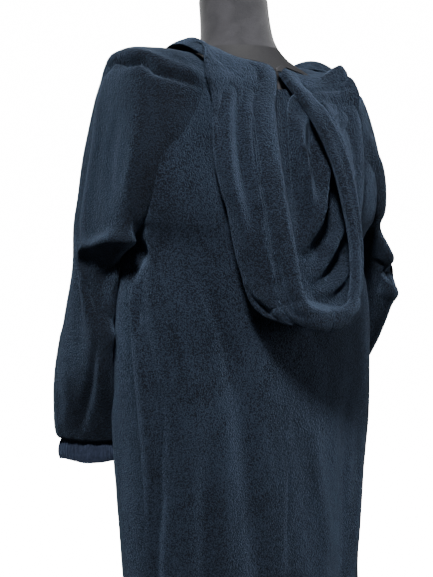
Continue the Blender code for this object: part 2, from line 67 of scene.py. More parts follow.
SIDES = ((1.0, "left"), (-1.0, "right"))

# Torso sections: height, half widths and half depth, each side a quarter
# ellipse. The garment hangs a little towards the wearer's right.
TORSO = (
    # z, left, right, half_depth
    (0.6, 0.223, 0.247, 0.13),
    (0.66, 0.225, 0.251, 0.131),
    (0.76, 0.231, 0.26, 0.134),
    (0.9, 0.242, 0.27, 0.138),
    (1.04, 0.247, 0.27, 0.141),
    (1.12, 0.244, 0.259, 0.141),
    (1.195, 0.2285, 0.2285, 0.14),
)
# Where the side seam runs round the torso, in degrees behind the side line.
SIDE_SEAM = (
    # z, degrees
    (0.1, 14.0),
    (0.66, 16.0),
    (0.9, 16.0),
    (1.08, 11.0),
    (1.195, 4.5),
)
# Legs: height, inner edge and outer edge in x, half depth, centre in y.
LEG_LEFT = (
    # z, inner_x, outer_x, half_depth, centre_y
    (0.1, 0.068, 0.166, 0.054, 0.004),
    (0.135, 0.058, 0.176, 0.07, 0.003),
    (0.25, 0.052, 0.186, 0.086, 0.0),
    (0.42, 0.046, 0.204, 0.1, -0.002),
    (0.58, 0.038, 0.22, 0.12, 0.0),
    (0.645, 0.03, 0.226, 0.127, 0.0),
)
LEG_RIGHT = (
    # z, inner_x, outer_x, half_depth, centre_y
    (0.1, 0.022, -0.076, 0.054, 0.004),
    (0.135, 0.023, -0.1, 0.07, 0.003),
    (0.25, 0.023, -0.128, 0.086, 0.0),
    (0.42, 0.023, -0.182, 0.1, -0.002),
    (0.58, 0.024, -0.226, 0.12, 0.0),
    (0.645, 0.026, -0.24, 0.127, 0.0),
)
# Sleeve sections, from the neckline over the shoulder and down the arm. Each
# is an arc of an ellipse: its centre, its half depth, how far it stands out
# and rises from the centre to its outer point, how far the arc wraps past the
# half ellipse (90 closes it), how far the seam is turned towards the back,
# and how far the whole section is turned about the vertical.
SLEEVE_LEFT = (
    # x, y, z, half_depth, out, rise, wrap, seam_turn, yaw
    (0.122, 0.004, 1.474, 0.09, 0.014, 0.04, 0.0, 0.0, 0.0),
    (0.158, 0.002, 1.428, 0.112, 0.028, 0.089, 0.0, 0.0, 0.0),
    (0.192, 0.0, 1.366, 0.114, 0.046, 0.142, -2.0, 0.0, 0.0),
    (0.2125, -0.0035, 1.3315, 0.11, 0.051, 0.124, -6.0, 0.0, 0.0),
    (0.233, -0.01, 1.302, 0.107, 0.041, 0.083, 4.0, 3.0, 0.0),
    (0.25, -0.02, 1.256, 0.1, 0.031, 0.0405, 36.0, 10.0, 0.0),
    (0.2615, -0.03, 1.216, 0.092, 0.026, 0.02, 89.0, 20.0, 0.0),
    (0.268, -0.037, 1.15, 0.076, 0.0215, 0.006, 89.4, 20.0, 2.0),
    (0.274, -0.05, 1.07, 0.071, 0.021, 0.002, 89.4, 18.0, 8.0),
    (0.278, -0.071, 0.98, 0.066, 0.023, 0.0, 89.4, 16.0, 14.0),
    (0.266, -0.094, 0.912, 0.057, 0.027, 0.0, 89.4, 12.0, 28.0),
    (0.251, -0.107, 0.858, 0.051, 0.025, 0.0, 89.4, 10.0, 36.0),
)
# The right shoulder hangs lower, and the right elbow stands out to the back:
# how far each section there is moved.
RIGHT_SHIFT = (
    # outwards, back, up
    (-0.004, 0.0, -0.006),
    (-0.012, 0.0, -0.016),
    (-0.016, -0.004, -0.021),
    (-0.012, -0.005, -0.012),
    (-0.006, -0.002, -0.005),
    (0.001, 0.001, -0.001),
    (0.0, 0.0, 0.0),
    (0.028, 0.034, 0.0),
    (0.036, 0.026, 0.0),
    (0.034, 0.002, 0.0),
    (0.026, -0.008, 0.0),
    (0.018, -0.008, 0.0),
)
SLEEVE_RIGHT = tuple(
    (row[0] + out, row[1] + back, row[2] + up) + row[3:]
    for row, (out, back, up) in zip(SLEEVE_LEFT, RIGHT_SHIFT))
SLEEVE_TOP_ROWS = 6       # the table row at which the sleeve closes to a tube
# Edges of the fronts and backs beside the centre line, for the sleeve
# sections from the neckline to the underarm.
CENTRE_BACK = (
    # y, z, end_degrees
    (0.107, 1.452, 42.0),
    (0.112, 1.41, 36.0),
    (0.12, 1.35, 31.0),
    (0.128, 1.3, 25.0),
    (0.1345, 1.255, 19.0),
    (0.138, 1.22, 11.0),
    (0.14, 1.195, 4.5),
)
ZIP_EDGE = (
    # x, y, z, end_degrees
    (0.094, -0.071, 1.488, 40.0),
    (0.07, -0.093, 1.446, 34.0),
    (0.04, -0.116, 1.386, 28.0),
    (0.012, -0.131, 1.326, 22.0),
    (ZIP_GAP, -0.137, 1.27, 22.0),
    (ZIP_GAP, -0.139, 1.228, 18.0),
    (ZIP_GAP, -0.14, 1.195, 10.0),
)
# Hood sections, from the front corner of the neckline, round the neck to the
# nape, and down the back to the forehead point: the free edge (zip, then
# rim), the fullest point of the wall, and the sewn edge (neckline, then the
# hood's centre seam).
HOOD = (
    # edge x, y, z, full x, y, z, sewn x, y, z
    (0.0965, -0.068, 1.497, 0.108, -0.073, 1.51, 0.118, -0.077, 1.494),
    (0.101, -0.02, 1.514, 0.124, -0.026, 1.537, 0.143, -0.025, 1.522),
    (0.098, 0.03, 1.513, 0.13, 0.043, 1.543, 0.148, 0.04, 1.522),
    (0.062, 0.08, 1.5, 0.17, 0.1105, 1.5236, 0.142, 0.111, 1.49),
    (0.0045, 0.0985, 1.484, 0.212, 0.139, 1.464, 0.094, 0.117, 1.468),
    (0.034, 0.142, 1.41, 0.221, 0.132, 1.416, 0.01, 0.121, 1.436),
    (0.053, 0.178, 1.33, 0.215, 0.132, 1.334, 0.0012, 0.131, 1.34),
    (0.059, 0.206, 1.25, 0.19, 0.134, 1.242, 0.0012, 0.1425, 1.244),
    (0.058, 0.228, 1.178, 0.166, 0.138, 1.15, 0.0012, 0.152, 1.168),
    (0.047, 0.2405, 1.114, 0.126, 0.162, 1.074, 0.0012, 0.17, 1.106),
    (0.0012, 0.246, 1.0945, 0.0012, 0.242, 1.05, 0.0012, 0.216, 1.08),
)
HOOD_FULLNESS = 0.86      # 2/3 is a plain arc; more makes the wall fuller
# How much lower the roll round the neck lies on the right, at its free edge,
# its fullest point and its sewn edge.
HOOD_DROP_RIGHT = (0.004, 0.024, 0.016)
HOOD_PULL_RIGHT = 0.020   # and how much closer in its fullest point is there
HOOD_ZIP_ROWS = 4         # the table row where the zip ends at the nape
HOOD_SWAY_X = -0.005      # the hood's free rim hangs a little to the right

# Dress form: height, half width, half depth, centre in y.
FORM = (
    # z, half_width, half_depth, centre_y
    (0.8, 0.15, 0.09, 0.0),
    (0.806, 0.16, 0.098, 0.0),
    (0.86, 0.17, 0.104, 0.0),
    (0.93, 0.164, 0.102, 0.0),
    (1.02, 0.152, 0.097, 0.0),
    (1.11, 0.162, 0.103, 0.0),
    (1.22, 0.18, 0.11, 0.0),
    (1.32, 0.196, 0.107, 0.0),
    (1.39, 0.204, 0.099, 0.001),
    (1.43, 0.201, 0.092, 0.001),
    (1.46, 0.184, 0.086, 0.001),
    (1.48, 0.155, 0.081, 0.0),
    (1.498, 0.115, 0.076, -0.002),
    (1.512, 0.087, 0.071, -0.006),
    (1.528, 0.072, 0.068, -0.011),
    (1.552, 0.0635, 0.064, -0.018),
    (1.59, 0.0605, 0.061, -0.025),
    (1.616, 0.06, 0.0605, -0.029),
    (1.622, 0.057, 0.0575, -0.03),
)


# ---- curves through tables
def through(table, t):
    """Catmull-Rom point at t, where t = 0, 1, 2... are the table's rows."""
    rows = np.asarray(table, dtype=float)
    last = len(rows) - 1
    t = min(max(t, 0.0), float(last))
    i = min(int(t), last - 1)
    f = t - i
    p1, p2 = rows[i], rows[i + 1]
    p0 = rows[i - 1] if i > 0 else 2.0 * p1 - p2
    p3 = rows[i + 2] if i + 2 <= last else 2.0 * p2 - p1
    return 0.5 * (2.0 * p1 + (p2 - p0) * f
                  + (2.0 * p0 - 5.0 * p1 + 4.0 * p2 - p3) * f * f
                  + (3.0 * p1 - p0 - 3.0 * p2 + p3) * f * f * f)


def at_height(table, z):
    """The table's other columns at height z, its first column."""
    heights = [row[0] for row in table]
    z = min(max(z, heights[0]), heights[-1])
    for i in range(len(heights) - 1):
        if z <= heights[i + 1]:
            t = i + (z - heights[i]) / (heights[i + 1] - heights[i])
            return through([row[1:] for row in table], t)
    return np.asarray(table[-1][1:], dtype=float)


def smooth(x):
    x = min(max(x, 0.0), 1.0)
    return x * x * (3.0 - 2.0 * x)


# ---- surfaces
def sleeve_point(t, u, side):
    """Sleeve: t runs down the table, u from the back seam round to the front
    seam. Side is 1 for left and -1 for right, in every function here."""
    table = SLEEVE_LEFT if side > 0 else SLEEVE_RIGHT
    x, y, z, depth, out, rise, wrap, turn, yaw = through(table, t)
    start = radians(turn - wrap)
    end = radians(180.0 + turn + wrap)
    angle = start + (end - start) * u
    yaw = radians(yaw)
    along, off = depth * cos(angle), out * sin(angle)
    return np.array((side * (x + off * cos(yaw) - along * sin(yaw)),
                     y + off * sin(yaw) + along * cos(yaw),
                     z + rise * sin(angle)))


def yoke_point(t, u, side, back):
    """Upper front or back: t as in the sleeve's table, u from the centre to
    the raglan seam."""
    if back:
        y, z, end = through(CENTRE_BACK, t)
        start = np.array((0.0, y, z))
        seam = sleeve_point(t, 0.0, side)
    else:
        x, y, z, end = through(ZIP_EDGE, t)
        start = np.array((side * x, y, z))
        seam = sleeve_point(t, 1.0, side)
    return across(start, seam, radians(end), u)


def across(start, seam, end, u):
    """A quarter-ellipse row from the centre to the seam, where the ellipse
    has turned to the angle end."""
    angle = pi / 2 + (end - pi / 2) * u
    x = cos(angle) / cos(end)
    y = (1.0 - sin(angle)) / (1.0 - sin(end))
    return np.array((start[0] + (seam[0] - start[0]) * x,
                     start[1] + (seam[1] - start[1]) * y,
                     start[2] + (seam[2] - start[2]) * u ** 1.4))


def lower_point(z, u, side, back):
    """Torso and leg below the underarm: u from the centre seam, or the
    inseam, to the side seam."""
    face = 1.0 if back else -1.0
    seam = radians(at_height(SIDE_SEAM, z)[0]) * face
    left, right, depth = at_height(TORSO, z)
    width = left if side > 0 else right
    angle = pi / 2 + (seam - pi / 2) * u
    inset = 0.0
    if not back:
        inset = ZIP_GAP * (1.0 - u) * smooth((z - ZIP_BOTTOM_Z) / ZIP_OPENS + 1.0)
    torso = np.array((side * (width * cos(angle) + inset),
                      face * depth * sin(angle), z))
    inner, outer, leg_depth, y = at_height(LEG_LEFT if side > 0 else LEG_RIGHT, z)
    turn = pi * (1.0 - u) + seam * u
    middle, half = (inner + outer) / 2, abs(outer - inner) / 2
    leg = np.array((middle + side * half * cos(turn),
                    y + face * leg_depth * sin(turn), z))
    out = smooth(u / 0.6)
    start = CROTCH_Z - SEAT_LENGTH * out
    length = CROTCH_BLEND + (SEAT_LENGTH + SEAT_RISE - CROTCH_BLEND) * out
    up = min(max((z - start) / length, 0.0), 1.0)
    part = (1.0 - (1.0 - up) ** CROTCH_CURVE) * (1.0 - out) + smooth(up) * out
    point = leg * (1.0 - part) + torso * part
    point[1] *= 1.0 + SEAT_FULLNESS * 4.0 * part * (1.0 - part)
    return point


def hood_point(t, w, side):
    """Hood panel: t runs down the table, w from the free edge to the sewn
    one."""
    row = through(HOOD, t)
    last = len(HOOD) - 1
    if t > last - 1:
        # the two halves meet in a round bottom, not in a point
        turn = (t - last + 1) * pi / 2
        above, below = np.array(HOOD[-2]), np.array(HOOD[-1])
        row = below + (above - below) * (1.0 - sin(turn))
        row[0::3] = below[0::3] + (above[0::3] - below[0::3]) * cos(turn)
    edge, full, sewn = row[0:3].copy(), row[3:6].copy(), row[6:9].copy()
    if side < 0:
        near_nape = sin(pi * smooth((t - 0.8) / 4.4))
        for point, drop in zip((edge, full, sewn), HOOD_DROP_RIGHT):
            point[2] -= drop * near_nape
        full[0] -= HOOD_PULL_RIGHT * near_nape
    for point in (edge, full, sewn):
        point[0] = max(point[0], 0.0012)
    near = edge + (full - edge) * HOOD_FULLNESS
    far = sewn + (full - sewn) * HOOD_FULLNESS
    v = 1.0 - w
    point = (edge * v ** 3 + 3.0 * near * v * v * w
             + 3.0 * far * v * w * w + sewn * w ** 3)
    sway = HOOD_SWAY_X * sin(pi * smooth((t - 4.0) / 6.0)) * v
    return np.array((side * point[0] + sway, point[1], point[2]))


# ---- finer sizes, for the looks
BODY_COLS = 64
YOKE_ROWS = 66
TORSO_ROWS = 86
LEG_ROWS = 90
SLEEVE_COLS = 100
ARM_ROWS = 84
HOOD_COLS = 84
HOOD_ROWS = 170
FLEECE = 0.0034           # the wall with its pile, a little over the CAD's
SEAM_DEPTH = 0.0004       # how far the pile sinks in at a seam
SEAM_REACH = 0.0050
FOLD_FADE = 0.012         # folds die away this close to a seam
PUCKER = 0.0006           # gathers that a seam leaves beside it
PUCKER_REACH = 0.016
UNDERARM_EASE = 9         # rows and columns that smooth the underarm's corner
UNDERARM_ROUNDS = 40
HEM_WIDTH = 0.042         # the casing sewn along the hood's rim
HEM_PUFF = 0.0085
HEM_GROOVE = 0.0040
LUMP = 0.0016             # unevenness of hanging plush
NECK_BAND = (1.470, 1.530)        # lower and upper edge of the neck's dark cover
CUFF_ROWS = 25
CUFF_COLS = 180
CUFF_SCALES = (0.93, 1.00, 1.03, 1.02, 0.96)      # the cuff's size down it
CUFF_TUCK = 0.002         # how far the cuff goes up into the cloth
RIBS = 45                 # wales of knit that stand out round a cuff
RIB_DEPTH = 0.0007
TAPE_SINK = 0.0012        # how far the zip's tape lies under the cloth's face
TAPE_WALL = 0.0010
TAPE_REACH = 0.006        # how far the tape goes in under the cloth
TOOTH = (0.0012, 0.0034, 0.0018)      # a tooth along the zip, across and out
TOOTH_PITCH = 0.0021
TOOTH_PROUD = 0.0004      # its middle above the tape
STITCH_PITCH = 0.0042
STITCH = (STITCH_PITCH * 0.66, 0.0006, 0.0006)
STITCH_PROUD = 0.0003
STITCH_ROWS = (("inner", HEM_WIDTH - 0.0010), ("outer", HEM_WIDTH + 0.0022))
TURNED_SIDES = 96
SHARP = radians(55.0)        # edges that bend more are drawn sharp


# ---- noise and folds
def unit(value):
    return np.clip(value, 0.0, 1.0)


def lumps(points, size, seed):
    """Smooth noise from -1 to 1 whose lumps are about size across."""
    scaled = np.asarray(points) / np.asarray(size)
    cell = np.floor(scaled).astype(np.int64)
    part = scaled - cell
    part = part * part * (3.0 - 2.0 * part)
    total = np.zeros(scaled.shape[:-1])
    for corner in itertools.product((0, 1), repeat=3):
        at = cell + np.array(corner)
        mixed = at[..., 0] * 73856093 ^ at[..., 1] * 19349663 ^ at[..., 2] * 83492791
        mixed = (mixed + seed * 7919) & 0xFFFFFF
        mixed = (mixed ^ (mixed >> 11)) * 48271 & 0xFFFFFF
        mixed = (mixed ^ (mixed >> 7)) & 0xFFFF
        weight = np.prod(np.where(corner, part, 1.0 - part), axis=-1)
        total += weight * (mixed / 32767.5 - 1.0)
    return total


def at_thousandths(grid, across, down):
    """The grid's point at these thousandths of its columns and rows."""
    rows, cols = grid.shape[:2]
    return grid[int(round(down / 1000 * (rows - 1))),
                int(round(across / 1000 * (cols - 1)))]


def distance_to(grid, curve):
    """Distance of each point to a polyline, and how far along it that is."""
    best = np.full(grid.shape[:2], 1e9)
    along = np.zeros(grid.shape[:2])
    for i, (a, b) in enumerate(zip(curve, curve[1:])):
        step = b - a
        f = np.clip(((grid - a) @ step) / max(step @ step, 1e-12), 0.0, 1.0)
        gap = np.linalg.norm(grid - a - f[..., None] * step, axis=-1)
        closer = gap < best
        best = np.where(closer, gap, best)
        along = np.where(closer, (i + f) / (len(curve) - 1), along)
    return best, along


def fold_shape(grid, width, path):
    """A soft ridge of height 1 along a path, fading out at both ends."""
    marks = np.array([at_thousandths(grid, a, d) for a, d in path])
    curve = np.array([through(marks, t)
                      for t in np.linspace(0.0, len(marks) - 1.0, 6 * len(marks))])
    gap, along = distance_to(grid, curve)
    fade = np.sin(pi * unit(along)) ** 0.7
    return fade * np.exp(-(gap / (width / 1000)) ** 2)


def edge_distance(grid):
    """Distance along the cloth from each of the four edges: left, right,
    top and bottom."""
    across = np.linalg.norm(np.diff(grid, axis=1), axis=2)
    down = np.linalg.norm(np.diff(grid, axis=0), axis=2)
    left = np.pad(np.cumsum(across, axis=1), ((0, 0), (1, 0)))
    top = np.pad(np.cumsum(down, axis=0), ((1, 0), (0, 0)))
    return left, left[:, -1:] - left, top, top[-1:, :] - top


def seam_lift(grid, near, seed):
    """The channel along a seam, with the small gathers beside it."""
    channel = -SEAM_DEPTH * (1.0 - unit(near / SEAM_REACH)) ** 2
    gathers = PUCKER * lumps(grid, 0.011, seed) * np.exp(-near / PUCKER_REACH)
    return channel + gathers * unit(near / SEAM_REACH)


# ---- building walls
def grid_normals(grid):
    across_step = np.gradient(grid, axis=1)
    down_step = np.gradient(grid, axis=0)
    normal = np.cross(across_step, down_step)
    length = np.linalg.norm(normal, axis=2, keepdims=True)
    return normal / np.maximum(length, 1e-9)


def add_mesh(name, points, faces, material):
    data = bpy.data.meshes.new(name)
    data.from_pydata([tuple(p) for p in points], [], faces)
    data.update()
    data.shade_smooth()
    data.set_sharp_from_angle(angle=SHARP)
    data.materials.append(material)
    obj = bpy.data.objects.new(name, data)
    bpy.context.scene.collection.objects.link(obj)
    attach(obj, GARMENT)
    return obj


def wall_faces(rows, cols, flip):
    """Quads of two skins of rows x cols points, and of the rim that joins
    them. The second skin's points follow the first's."""
    size = rows * cols
    faces = []
    for r in range(rows - 1):
        for c in range(cols - 1):
            a = r * cols + c
            quad = (a, a + cols, a + cols + 1, a + 1)
            faces.append(quad)
            faces.append(tuple(i + size for i in reversed(quad)))
    rim = list(range(cols))
    rim += [r * cols + cols - 1 for r in range(1, rows)]
    rim += [(rows - 1) * cols + c for c in range(cols - 2, -1, -1)]
    rim += [r * cols for r in range(rows - 2, 0, -1)]
    for i, a in enumerate(rim):
        b = rim[(i + 1) % len(rim)]
        faces.append((a, b, b + size, a + size))
    return [tuple(reversed(face)) for face in faces] if flip else faces


def angles(sides):
    return np.arange(sides) * 2.0 * pi / sides


def tube_faces(rows, sides, base=0, flip=False):
    """Quads round a tube of rows, from the bottom up, of points."""
    faces = []
    for c in range(sides):
        d = (c + 1) % sides
        for r in range(rows - 1):
            a, b = base + r * sides + c, base + r * sides + d
            face = (a, b, b + sides, a + sides)
            faces.append(face[::-1] if flip else face)
    return faces


def add_wall(name, outer, inner, outward, material):
    rows, cols = outer.shape[:2]
    points = np.concatenate([outer.reshape(-1, 3), inner.reshape(-1, 3)])
    return add_mesh(name, points, wall_faces(rows, cols, outward < 0), material)


def round_edges(outer, inner, free_edges, reach):
    """Draws both skins together at the free edges, which end rounded."""
    if not free_edges:
        return outer, inner
    middle = (outer + inner) / 2
    gaps = edge_distance(outer)
    near = unit(np.minimum.reduce([gaps[i] for i in free_edges]) / reach)
    keep = np.sqrt(1.0 - (1.0 - near) ** 2)[..., None] * 0.85 + 0.15
    return middle + (outer - middle) * keep, middle + (inner - middle) * keep


# Folds of each piece: width and height in millimetres (negative for a trough
# or crease), then the points of its path, across and down in thousandths of
# the piece.
FOLDS = {}
FOLDS["sleeve_left"] = (
    # the roll along the shoulder, and the crease under it
    (6, -13, (660, 205), (580, 193), (500, 183), (450, 178), (380, 173), (330, 153), (280, 147),
     (240, 140), (180, 113), (110, 87), (20, 60)),
    (13, 8, (680, 172), (600, 168), (540, 164), (460, 167), (360, 137), (280, 122), (210, 98),
     (130, 66), (30, 38)),
    (12, 3.5, (420, 205), (330, 180), (240, 165), (140, 130)),
    # the back of the arm stands out from its front
    (17, 8, (560, 200), (540, 253), (500, 313), (490, 367), (450, 440), (420, 527), (370, 653),
     (300, 780), (270, 930)),
    (14, -8, (620, 240), (610, 287), (580, 353), (540, 440), (510, 533), (460, 640), (410, 720)),
    (8, -10, (320, 690), (340, 787), (380, 850), (470, 970)),
    (14, 5, (500, 760), (480, 850), (520, 940)),
    # the hollow under the arm, and the lip over it
    (12, 15, (460, 515), (380, 498), (310, 480), (240, 468), (150, 455), (50, 455)),
    (6, -6, (200, 390), (130, 420), (80, 445)),
    (12, 4, (200, 250), (220, 330), (260, 400)),
    (15, -4, (350, 250), (360, 330), (330, 420)),
    # where the forearm rests against the body
    (30, 8, (100, 720), (90, 800), (90, 880), (120, 940)),
    # the far side of the arm
    (13, -6, (800, 420), (760, 520), (700, 600), (660, 700)),
    (15, 6, (880, 450), (850, 560), (800, 680), (760, 800)),
    (9, -6, (920, 600), (800, 640), (680, 690)),
)
FOLDS["sleeve_right"] = (
    (5.5, -8, (500, 170), (400, 165), (300, 140), (200, 110), (100, 80)),
    (12, 5, (500, 135), (380, 130), (260, 100), (140, 65)),
    (13, 7, (90, 120), (70, 207), (100, 300), (120, 387), (140, 500)),
    (7, -11, (40, 520), (80, 547), (130, 573), (200, 590), (300, 600)),
    (12, 8, (60, 600), (140, 620), (240, 630), (340, 640)),
    (15, -7, (400, 250), (420, 360), (380, 470), (360, 560)),
    (15, 6, (560, 220), (550, 340), (520, 460), (500, 600), (480, 760)),
    (9, -7, (620, 560), (540, 600), (450, 640)),
    (9, -7, (300, 740), (380, 820), (460, 900)),
    (13, 5, (700, 640), (660, 740), (640, 860)),
    (9, -6, (880, 560), (780, 610), (700, 680)),
)
FOLDS["back_left"] = (
    (18, -20, (1000, 305), (950, 287), (900, 276), (850, 272)),
    (5, -6, (990, 235), (950, 262), (920, 280)),
    (10, -5, (860, 289), (880, 320), (880, 347), (830, 393), (800, 434)),
    (10, -10, (820, 400), (800, 434), (840, 480), (860, 512), (910, 558), (910, 616), (890, 680),
     (900, 760)),
    (16, 5, (950, 340), (930, 400), (920, 470), (950, 520)),
    (4.5, -6, (930, 322), (920, 340), (930, 356)),
    (22, -11, (360, 350), (310, 400), (270, 467), (220, 545), (160, 610), (140, 690)),
    (24, 6.5, (580, 310), (580, 413), (640, 508), (660, 616), (640, 730)),
    (20, 7, (400, 410), (410, 480), (420, 560), (400, 660)),
    (15, -6, (520, 460), (530, 560), (540, 660), (500, 760)),
    (12, -5.5, (520, 290), (450, 320), (380, 360), (340, 413)),
    (18, 5, (700, 270), (660, 320), (620, 370)),
    (12, -5, (300, 740), (450, 755), (620, 745)),
    (13, 6, (300, 775), (460, 790), (640, 780)),
    (11, -6, (250, 900), (450, 915), (700, 905)),
    (12, 6, (200, 935), (420, 948), (660, 940)),
)
FOLDS["back_right"] = (
    (20, 7, (160, 440), (200, 500), (280, 558), (340, 636), (360, 740)),
    (18, -8, (420, 400), (440, 500), (480, 600), (520, 700)),
    (18, 7, (620, 340), (620, 440), (660, 560), (680, 660)),
    (10, -9, (860, 360), (840, 440), (870, 540), (900, 640), (880, 740)),
    (11, -7, (990, 262), (920, 276), (840, 300)),
    (9, -5, (40, 590), (100, 630), (160, 690), (200, 740)),
    (12, -6, (250, 790), (450, 800), (660, 785)),
    (12, 6, (220, 930), (420, 940), (660, 925)),
)
FOLDS["front_left"] = (
    (13, -9, (980, 262), (880, 280), (740, 310), (600, 350)),
    (15, 6, (940, 225), (800, 250), (660, 290)),
    (16, 6, (200, 150), (300, 220), (360, 310), (360, 420)),
    (20, -8, (520, 360), (500, 450), (460, 550), (440, 660)),
    (22, 8, (720, 360), (700, 460), (660, 570), (660, 680)),
    (11, -7, (20, 330), (120, 345), (220, 370)),
    (11, -6, (20, 440), (140, 430), (260, 440)),
    (14, 7, (100, 560), (220, 600), (340, 660), (420, 740)),
    (12, -7, (220, 640), (320, 690), (400, 760)),
    (12, -7, (200, 790), (420, 800), (640, 785)),
    (13, 7, (200, 925), (420, 940), (660, 930)),
)
FOLDS["front_right"] = (
    (12, -8, (980, 258), (860, 290), (720, 330), (620, 380)),
    (15, 6, (240, 170), (320, 250), (340, 340), (320, 440)),
    (19, -8, (480, 320), (480, 430), (500, 540), (520, 650)),
    (22, 8, (700, 400), (680, 500), (700, 600), (680, 720)),
    (10, -6, (20, 375), (120, 385), (200, 405)),
    (10, -6, (20, 490), (140, 480), (240, 495)),
    (12, -7, (140, 590), (260, 640), (380, 710)),
    (12, -6, (200, 810), (420, 820), (640, 800)),
    (13, 7, (200, 940), (420, 950), (660, 935)),
)
FOLDS["hood_left"] = (
    # soft ridges down the outside
    (13, 10, (240, 440), (260, 520), (280, 610), (270, 700), (250, 790)),
    (11, -9, (180, 450), (190, 540), (200, 640), (190, 740)),
    (16, 8, (460, 480), (440, 580), (420, 680)),
    (13, -7, (360, 470), (350, 560), (340, 660)),
    # creases where the pouch hangs on its bottom
    (5.5, -8, (430, 835), (380, 865), (320, 888), (340, 920), (440, 940)),
    (5, -7, (100, 790), (90, 840), (100, 880), (140, 930), (160, 960)),
    (11, 6, (240, 850), (220, 890), (260, 940)),
    # across the shoulder
    (6, -5, (800, 150), (780, 260), (800, 350)),
    (8, -4, (300, 120), (340, 220), (300, 330)),
)
FOLDS["hood_right"] = (
    # inside the pouch, where a trough outside is a ridge inside
    (12, -15, (900, 480), (960, 560), (960, 620), (950, 680), (930, 750)),
    (8, 8, (880, 520), (920, 590), (910, 660), (900, 720)),
    (13, -21, (700, 510), (800, 560), (860, 620), (880, 676), (940, 741), (980, 780)),
    (13, 8, (700, 590), (780, 653), (840, 720), (900, 790)),
    (11, -15, (660, 690), (760, 747), (840, 800), (940, 847)),
    (11, -14, (500, 780), (640, 820), (800, 859), (920, 882)),
    (9, 6, (560, 740), (700, 790), (840, 835)),
    # outside
    (6, -5, (200, 470), (220, 560), (210, 660), (200, 760)),
    (12, 5, (340, 460), (330, 560), (320, 700)),
    (6, -5, (800, 170), (780, 280), (820, 380)),
)
# Cloth pushed straight one way: width, the push in x, y and z, and the points
# of the path, in the same units.
HOLLOWS = {}
HOLLOWS["sleeve_left"] = (
    (23, (-4, -48, 4), (500, 565), (440, 548), (380, 542), (330, 546), (270, 550), (200, 546),
     (120, 525), (30, 505)),
    (26, (-4, -32, 0), (480, 615), (400, 596), (300, 592), (200, 585), (80, 560)),
    (30, (0, -18, 0), (440, 660), (380, 648), (320, 640), (200, 630), (80, 610)),
    (18, (10, -26, 0), (300, 560), (260, 590), (220, 630), (200, 690)),
)
HOLLOWS["hood_right"] = (
    # the collar lies lower on the right, in front and at the nape
    (48, (2, -2, -29), (340, 40), (260, 120), (200, 180), (200, 240), (240, 310)),
    # the lump over the shoulder
    (26, (-3, 0, 15), (360, 262), (460, 285), (550, 300), (680, 320)),
    (42, (0, -2, -13), (20, 380), (140, 345), (240, 328), (400, 318), (600, 320)),
    # the roll of the rim
    (17, (8, 16, 2), (120, 440), (100, 520), (90, 600), (90, 700), (100, 800), (120, 900),
     (140, 985)),
    # the cloth inside the mouth, and the gap between it and the rim
    (17, (6, 18, 0), (990, 530), (970, 590), (940, 640), (910, 690), (870, 740), (820, 780)),
    (11, (-16, -8, 0), (920, 500), (860, 560), (800, 620), (740, 680), (680, 730), (620, 780)),
)
HOLLOWS["sleeve_right"] = (
    (16, (0, -30, 0), (340, 565), (240, 570), (160, 565), (80, 545)),
)
GRIDS = {}                # each panel's outer skin
PUSHED = {}               # how far the pushes moved each of its points


def plush_panel(node, grid, outward, material, extra, seam_edges=(0, 1, 2, 3)):
    """Lifts the grid by its folds and seams and adds it as a wall."""
    name = f"plush_{node}"
    normal = grid_normals(grid) * outward
    gaps = edge_distance(grid)
    seed = sum(ord(letter) for letter in name)
    near = np.minimum.reduce([gaps[i] for i in seam_edges])
    lift = LUMP * lumps(grid, (0.045, 0.045, 0.11), seed + 1)
    for width, height, *path in FOLDS.get(node, ()):
        lift += height / 1000 * fold_shape(grid, width, path)
    lift *= unit(near / FOLD_FADE) ** 0.7
    lift += seam_lift(grid, near, seed)
    more, puff = extra(grid, gaps)
    lift += more
    outer = grid + normal * (lift + puff)[..., None]
    inner = grid + normal * (lift - FLEECE - puff)[..., None]
    pushed = np.zeros_like(grid)
    for width, way, *path in HOLLOWS.get(node, ()):
        push = fold_shape(grid, width, path) * unit(near / FOLD_FADE)
        pushed += push[..., None] * np.array(way) / 1000
    outer = outer + pushed
    inner = inner + pushed
    PUSHED[node] = pushed
    free_edges = [i for i in range(4) if i not in seam_edges]
    outer, inner = round_edges(outer, inner, free_edges, FLEECE * 1.5)
    GRIDS[node] = outer
    state_sheet(add_wall(name, outer, inner, outward, material), node)


def state_sheet(obj, node):
    """Hides the CAD part that the cloth of a node stands for."""
    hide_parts(node)


